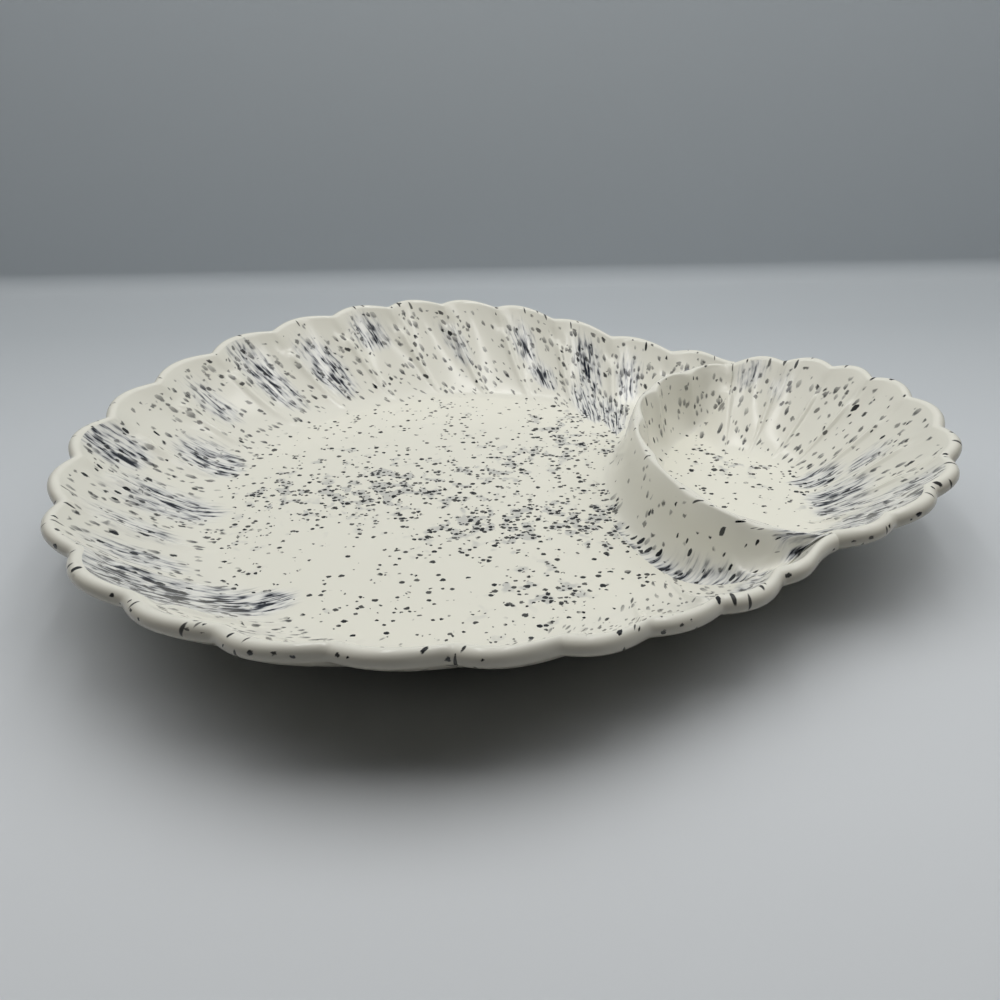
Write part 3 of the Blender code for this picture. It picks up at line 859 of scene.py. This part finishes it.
# thick and thin places of the sprayed specks: patches, clumps in them, and blots into which the
# finest dots crowd; each has a size, the part of its noise in use and what that gives
speckNoises = {
    "patch": {"size": 0.025, "from": (0.36, 0.66), "to": (0.65, 1.3)},
    "clump": {"size": 0.009, "from": (0.38, 0.64), "to": (0.45, 1.6)},
    "crowd": {"size": 0.0055, "from": (0.45, 0.64), "to": (0.2, 3.0)},
}
thick = {}
for name, noise in speckNoises.items():
    texture = addNode(tree, "TexNoise", {"Vector": flat, "Scale": 1 / noise["size"], "Detail": 1.0})
    thick[name] = addNode(tree, "MapRange", {"Value": texture, fromEnds: noise["from"], toEnds: noise["to"]})
patch = addNode(tree, "Math", {0: thick["patch"], 1: thick["clump"]}, operation="MULTIPLY")
floorShare = patch
for mask in (masks["freckles"], masks["floorness"]):
    floorShare = addNode(tree, "Math", {0: floorShare, 1: mask}, operation="MULTIPLY")
crowdShare = addNode(tree, "Math", {0: floorShare, 1: thick["crowd"]}, operation="MULTIPLY")

# the distance down from the crest over which a share grows to its full size, negative outside:
# the inside walls carry most strokes, the crest none of them and the outside a few
fullShares = {
    "inside": {"over": (0.003, 0.009), "share": 0.56},
    "outside": {"over": (-0.006, -0.010), "share": 0.22},
    "lip": {"over": (0.006, -0.002), "share": 0.45},
}
dashes = {"over": (0.005, 0.009), "share": 0.80}  # these fade out on both sides of the crest
runCrowding = 0.12  # what a run adds to the share of the strokes
shares = {}
for name, full in fullShares.items():
    shares[name] = addNode(tree, "MapRange", {"Value": down, fromEnds: full["over"], "To Max": full["share"]})
wallShare = addNode(tree, "Math", {0: shares["inside"], 1: shares["outside"]}, operation="ADD")
wallShare = addNode(tree, "Math", {0: masks["runs"], 1: runCrowding, 2: wallShare}, operation="MULTIPLY_ADD")
wallMask = addNode(tree, "Math", {0: 1.0, 1: masks["floorness"]}, operation="SUBTRACT")
for mask in (patch, wallMask, masks["strokes"]):
    wallShare = addNode(tree, "Math", {0: wallShare, 1: mask}, operation="MULTIPLY")
fromCrest = addNode(tree, "Math", {0: down}, operation="ABSOLUTE")
rimShare = addNode(tree, "MapRange", {
    "Value": fromCrest, fromEnds: dashes["over"], toEnds: (dashes["share"], 0.0)})

# cells in metres, radii as shares of a cell, in black where no ink is named
speckLayers = {
    "dots": {
        "on": flat, "from": floorShare, "times": 0.75, "cell": (0.0045, 0.0037),
        "shift": (3.1, 7.7), "radius": (0.04, 0.25), "soft": 0.025, "fray": 0.22, "frayScale": 4.0,
        "tone": (0.85, 1.0)},
    "fineDots": {
        "on": flat, "from": crowdShare, "times": 0.52, "cell": (0.0026, 0.0021),
        "shift": (1.4, 5.2), "radius": (0.10, 0.42), "soft": 0.04, "fray": 0.24, "frayScale": 3.0,
        "tone": (0.9, 1.0)},
    "blots": {
        "on": flat, "from": floorShare, "times": 0.60, "cell": (0.0090, 0.0080),
        "shift": (6.3, 2.9), "radius": (0.05, 0.14), "soft": 0.015, "fray": 0.20, "frayScale": 6.0,
        "tone": (0.9, 1.0)},
    "strokes": {
        "on": along, "from": wallShare, "times": 1.0, "ink": "inkBlue", "cell": (0.0038, 0.0072),
        "shift": (0.7, 2.3), "radius": (0.09, 0.33), "soft": 0.08, "fray": 0.26, "frayScale": 3.0,
        "tone": (0.55, 0.95), "tail": 0.5},
    "wallDots": {
        "on": along, "from": wallShare, "times": 0.9, "cell": (0.0052, 0.0062),
        "shift": (1.7, 4.3), "radius": (0.07, 0.23), "soft": 0.06, "fray": 0.24, "frayScale": 4.0,
        "tone": (0.6, 0.95)},
    "drops": {
        "on": along, "from": wallShare, "times": 0.45, "cell": (0.017, 0.026),
        "shift": (2.2, 6.4), "radius": (0.04, 0.08), "soft": 0.010, "fray": 0.06, "frayScale": 12.0,
        "tone": (0.95, 1.0)},
    "largeDrops": {
        "on": along, "from": masks["drops"], "times": 1.0, "cell": (0.0052, 0.0100),
        "shift": (3.4, 8.2), "radius": (0.05, 0.19), "soft": 0.025, "fray": 0.14, "frayScale": 5.0,
        "tone": (0.95, 1.0)},
    "lipDots": {
        "on": along, "from": shares["lip"], "times": 1.0, "cell": (0.0070, 0.0058),
        "shift": (4.6, 1.9), "radius": (0.04, 0.15), "soft": 0.030, "fray": 0.20, "frayScale": 5.0,
        "tone": (0.85, 1.0)},
    "rimDashes": {
        "on": along, "from": rimShare, "times": 1.0, "cell": (0.0062, 0.024),
        "shift": (5.5, 0.5), "radius": (0.05, 0.11), "soft": 0.022, "fray": 0.10, "frayScale": 5.0,
        "tone": (0.8, 1.0)},
}

# feathering inside the runs: tufts of wavering streaks about 2 mm wide and 9 mm long that
# grow denser with the run, over a blue-grey wash with a pale edge
feathering = {
    "waverCell": (0.009, 0.024),  # cells in metres, along the rim and down
    "waver": 0.0040,
    "streakCell": (0.0017, 0.009),
    "tuftCell": (0.004, 0.009),
    "tuftFrom": (0.38, 0.64),  # the part of the noise in use, and what it gives
    "tuftTo": (0.15, 1.25),
    "denser": 0.26,
    "featherFrom": (0.60, 0.83),
    "runFrom": (0.06, 0.45),
    "haloShare": 0.40,
    "washFrom": (0.46, 0.80),
    "washShare": 0.75,
    "crowdFrom": (0.6, 2.2),  # crowded dots on the floor have a faint wash too
    "crowdShare": 0.34,
}
waver = addNode(tree, "Mapping", {"Vector": along, "Scale": perCell(feathering["waverCell"])})
waver = addNode(tree, "TexNoise", {"Vector": waver, "Scale": 1.0, "Detail": 1.0}, noise_dimensions="2D")
waver = addNode(tree, "VectorMath", {
    0: waver.outputs["Color"], 1: (feathering["waver"], 0.0, 0.0), 2: along}, operation="MULTIPLY_ADD")
streaks = addNode(tree, "Mapping", {"Vector": waver, "Scale": perCell(feathering["streakCell"])})
streaks = addNode(tree, "TexNoise", {"Vector": streaks, "Scale": 1.0, "Detail": 2.0}, noise_dimensions="2D")
tufts = addNode(tree, "Mapping", {"Vector": waver, "Scale": perCell(feathering["tuftCell"])})
tufts = addNode(tree, "TexNoise", {"Vector": tufts, "Scale": 1.0, "Detail": 1.0}, noise_dimensions="2D")
tufts = addNode(tree, "MapRange", {
    "Value": tufts, fromEnds: feathering["tuftFrom"], toEnds: feathering["tuftTo"]})
tufts = addNode(tree, "Math", {0: masks["runs"], 1: tufts}, operation="MULTIPLY")
denser = addNode(tree, "Math", {0: tufts, 1: feathering["denser"], 2: streaks}, operation="MULTIPLY_ADD")
feather = addNode(tree, "MapRange", {"Value": denser, fromEnds: feathering["featherFrom"]},
                  interpolation_type="SMOOTHSTEP")
ran = addNode(tree, "MapRange", {"Value": masks["runs"], fromEnds: feathering["runFrom"]},
              interpolation_type="SMOOTHSTEP")
feather = addNode(tree, "Math", {0: feather, 1: ran}, operation="MULTIPLY")
halo = addNode(tree, "Math", {0: ran, 1: feathering["haloShare"]}, operation="MULTIPLY")
wash = addNode(tree, "MapRange", {
    "Value": denser, fromEnds: feathering["washFrom"], "To Max": feathering["washShare"]})
wash = addNode(tree, "Math", {0: wash, 1: ran}, operation="MULTIPLY")
crowdWash = addNode(tree, "MapRange", {
    "Value": crowdShare, fromEnds: feathering["crowdFrom"], "To Max": feathering["crowdShare"]},
    interpolation_type="SMOOTHSTEP")

# the colours are laid over the cream: the floors, the thin edge with painted shade down the outside, the
# runs, then each sort of speck
inks = {name: hexLinear(code) for name, code in glazeColours.items()}
# painted shade: past the crest the outside is darkened, partly as thinner glaze and partly standing in for
# the shade it lies in
thin = addNode(tree, "MapRange", {
    "Value": down, fromEnds: glazeFinish["thinAndShadeOver"], "To Max": glazeFinish["thinAndShadeShare"]},
    interpolation_type="SMOOTHSTEP")
washes = [("pooled", masks["floorness"]), ("thin", thin), ("halo", halo), ("bleed", wash),
          ("bleed", crowdWash), ("inkBlue", feather)]
colour = inks["cream"]
for ink, mask in washes:
    colour = addNode(tree, "Mix", {"Factor": mask, 6: colour, 7: inks[ink]}, data_type="RGBA").outputs[2]
for speck in speckLayers.values():
    mask, ink = speckLayer(tree, speck), inks[speck.get("ink", "speck")]
    colour = addNode(tree, "Mix", {"Factor": mask, 6: colour, 7: ink}, data_type="RGBA").outputs[2]
tree.links.new(colour, shader.inputs["Base Color"])
waves = addNode(tree, "TexNoise", {"Vector": flat, "Scale": 1 / glazeFinish["waveLength"], "Detail": 1.0})
waveBump = addNode(tree, "Bump", {
    "Strength": glazeFinish["waveStrength"], "Distance": glazeFinish["waveHeight"], "Height": waves})
tree.links.new(waveBump.outputs[0], shader.inputs["Normal"])

# Bare earthenware on the foot, sponged clean before firing: matt, with fine grit
clay = {"dark": "#C2AE92", "light": "#D8C8AE", "roughness": 0.85, "grit": 0.0012, "gritHeight": 0.0003,
        "gritStrength": 0.3}
bareClay, tree, shader = newMaterial("bareEarthenware", clay["roughness"])
onClay = addNode(tree, "TexCoord").outputs["Object"]
grit = addNode(tree, "TexNoise", {"Vector": onClay, "Scale": 1 / clay["grit"], "Detail": 3.0})
clayColour = addNode(tree, "Mix", {
    "Factor": grit, 6: hexLinear(clay["dark"]), 7: hexLinear(clay["light"])}, data_type="RGBA")
tree.links.new(clayColour.outputs[2], shader.inputs["Base Color"])
gritBump = addNode(tree, "Bump", {
    "Strength": clay["gritStrength"], "Distance": clay["gritHeight"], "Height": grit})
tree.links.new(gritBump.outputs[0], shader.inputs["Normal"])

pieces = [
    (chipDish, "chip_dish", "glaze", glaze),
    (dipBowl, "dip_bowl", "glaze", glaze),
    (dividerWall, "divider_wall", "glaze", glaze),
]
for ring in footRings.values():
    pieces.append((ring["piece"], ring["node"], "bare_clay", bareClay))
for piece, node, slot, material in pieces:
    piece.data.materials.clear()
    piece.data.materials.append(material)
    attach(piece, "root")
    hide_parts(node)
print("glaze and clay on", len(pieces), "pieces")

# Stage: a pale floor that sweeps up behind, one-sided so that it hides nothing from the back,
# and a second floor that goes on behind it; its darker far floor and wall are painted shade
stage = {
    "front": -1.6,
    "back": 0.303,
    "behind": 1.6,
    "behindDrop": 0.0004,
    "side": 2.2,
    "height": 1.4,
    "sweep": 0.013,
    "sweepSteps": 24,
    "floor": "#D6D9DB",
    "farFloorShade": "#B2B7BA",
    # the wall's darker tone is painted shade, standing in for the light that reaches it at a graze
    "wall": "#B2B8BC",
    "shadeFadeOver": (-0.15, 0.22),  # the floor darkens towards the back over this stretch, as painted shade
    "shadedWallFrom": 0.010,  # height at which the paper has the wall's darker tone, which is painted shade
    "roughness": 0.9,
}


# edges whose ends are both in the chosen place, selected for the next edit
def selectEdges(piece, chosen):
    bpy.ops.object.mode_set(mode="EDIT")
    bpy.ops.mesh.select_mode(type="EDGE")
    bpy.ops.mesh.select_all(action="DESELECT")
    bpy.ops.object.mode_set(mode="OBJECT")
    for edge in piece.data.edges:
        edge.select = all(chosen(piece.data.vertices[v].co) for v in edge.vertices)
    bpy.ops.object.mode_set(mode="EDIT")


backdrop = addPlane("backdrop")
for vertex in backdrop.data.vertices:
    vertex.co = (vertex.co.x * 2 * stage["side"], stage["back"] if vertex.co.y > 0 else stage["front"], 0)
selectEdges(backdrop, lambda end: end.y > 0)
bpy.ops.mesh.extrude_region_move(TRANSFORM_OT_translate={"value": (0, 0, stage["height"])})
selectEdges(backdrop, lambda end: end.y > 0 and abs(end.z) < meshing["merge"])
bpy.ops.mesh.bevel(offset=stage["sweep"], segments=stage["sweepSteps"], affect="EDGES")
bpy.ops.object.mode_set(mode="OBJECT")
bpy.ops.object.shade_smooth()
paper, tree, shader = newMaterial("matPaper", stage["roughness"])
place = addNode(tree, "SeparateXYZ", {0: addNode(tree, "TexCoord").outputs["Object"]})
# painted shade: the floor darkens towards the back and the paper darkens up the wall
away = addNode(tree, "MapRange", {"Value": place.outputs["Y"], fromEnds: stage["shadeFadeOver"]})
floorTone = addNode(tree, "Mix", {
    "Factor": away, 6: hexLinear(stage["floor"]), 7: hexLinear(stage["farFloorShade"])}, data_type="RGBA")
up = addNode(tree, "MapRange", {"Value": place.outputs["Z"], "From Max": stage["shadedWallFrom"]})
paperTone = addNode(tree, "Mix", {
    "Factor": up, 6: floorTone.outputs[2], 7: hexLinear(stage["wall"])}, data_type="RGBA")
tree.links.new(paperTone.outputs[2], shader.inputs["Base Color"])
oneSided = addNode(tree, "MixShader", {
    0: addNode(tree, "NewGeometry").outputs["Backfacing"],
    1: shader,
    2: addNode(tree, "BsdfTransparent")})
tree.links.new(oneSided.outputs[0], tree.nodes["Material Output"].inputs["Surface"])
backdrop.data.materials.append(paper)
backdrop.visible_shadow = False
floorBehind = addPlane("floorBehind")
for vertex in floorBehind.data.vertices:
    placeY = stage["behind"] if vertex.co.y > 0 else stage["back"] - 2 * stage["sweep"]
    vertex.co = (vertex.co.x * 2 * stage["side"], placeY, -stage["behindDrop"])
floorBehind.data.materials.append(paper)

# Light: one wide soft panel overhead, two slim strips that draw the highlights, a dim room
lights = {
    "overheadPanel": {"place": (0.05, 0.10, 0.62), "size": (1.70, 0.60), "power": 5.75, "glossy": False},
    "stripLeft": {"place": (-0.07, 0.10, 0.62), "size": (0.025, 0.5), "power": 0.42, "glossy": True},
    "stripRight": {"place": (0.17, 0.10, 0.62), "size": (0.025, 0.5), "power": 0.42, "glossy": True},
}
roomLight = {"colour": "#F2F4F6", "strength": 0.015, "pastStage": 0.04}
for name, light in lights.items():
    bpy.ops.object.light_add(type="AREA", location=light["place"])
    lamp = bpy.context.object
    lamp.name = name
    lamp.data.shape = "RECTANGLE"
    lamp.data.size, lamp.data.size_y = light["size"]
    lamp.data.energy = light["power"]
    lamp.visible_glossy = light["glossy"]
world = bpy.context.scene.world or bpy.data.worlds.new("room")
bpy.context.scene.world = world
world.use_nodes = True
tree = world.node_tree
room = tree.nodes["Background"]
room.inputs["Color"].default_value = hexLinear(roomLight["colour"])
# past the stage the eye, gloss and anything seen through meet a dark grey
rays = addNode(tree, "LightPath")
seen = rays.outputs["Is Camera Ray"]
for ray in ("Is Glossy Ray", "Is Transmission Ray"):
    seen = addNode(tree, "Math", {0: seen, 1: rays.outputs[ray]}, operation="MAXIMUM")
seen = addNode(tree, "MapRange", {
    "Value": seen, toEnds: (roomLight["strength"], roomLight["pastStage"])})
tree.links.new(seen.outputs[0], room.inputs["Strength"])

# Camera at the photograph's viewing angle
view = {"place": (-0.0030, -0.3201, 0.2005), "tilt": 59.0, "roll": -1.0, "lens": 33.264, "sensor": 36.0,
        "nearest": 0.01}
bpy.ops.object.camera_add()
camera = bpy.context.object
camera.matrix_world = (Matrix.Translation(view["place"])
                       @ Matrix.Rotation(math.radians(view["tilt"]), 4, "X")
                       @ Matrix.Rotation(math.radians(view["roll"]), 4, "Z"))
camera.data.lens = view["lens"]
camera.data.sensor_width = view["sensor"]
camera.data.clip_start = view["nearest"]
bpy.context.scene.camera = camera
bpy.context.scene.view_settings.view_transform = "Standard"
print("stage, lamp and camera set")
